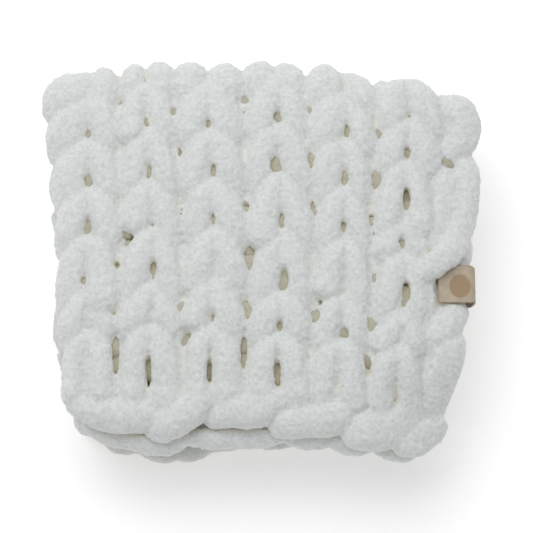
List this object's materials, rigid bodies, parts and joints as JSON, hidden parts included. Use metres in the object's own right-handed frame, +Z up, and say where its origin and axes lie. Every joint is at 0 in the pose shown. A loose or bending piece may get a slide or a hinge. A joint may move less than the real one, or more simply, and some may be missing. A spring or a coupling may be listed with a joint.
{
  "type": "folded chunky knit blanket",
  "caption": "Chunky chenille knit blanket, folded back and forth into a stack, with a leather label wrapped over its side edge.",
  "frame": {"origin": "under the middle of the stack's bounding box, on the flat underside", "axes": "+Z up through the layers, +Y to the back where the top layer folds over, +X to the side that carries the label"},
  "size_m": [0.3505, 0.3173, 0.105],
  "materials": {
    "yarn": "pale grey-white chenille with a short velvety pile",
    "leather": "matt tan leather with burnished edges"
  },
  "bodies": {
    "root": {"blanket": "yarn", "label": "leather"}
  },
  "joints": []
}
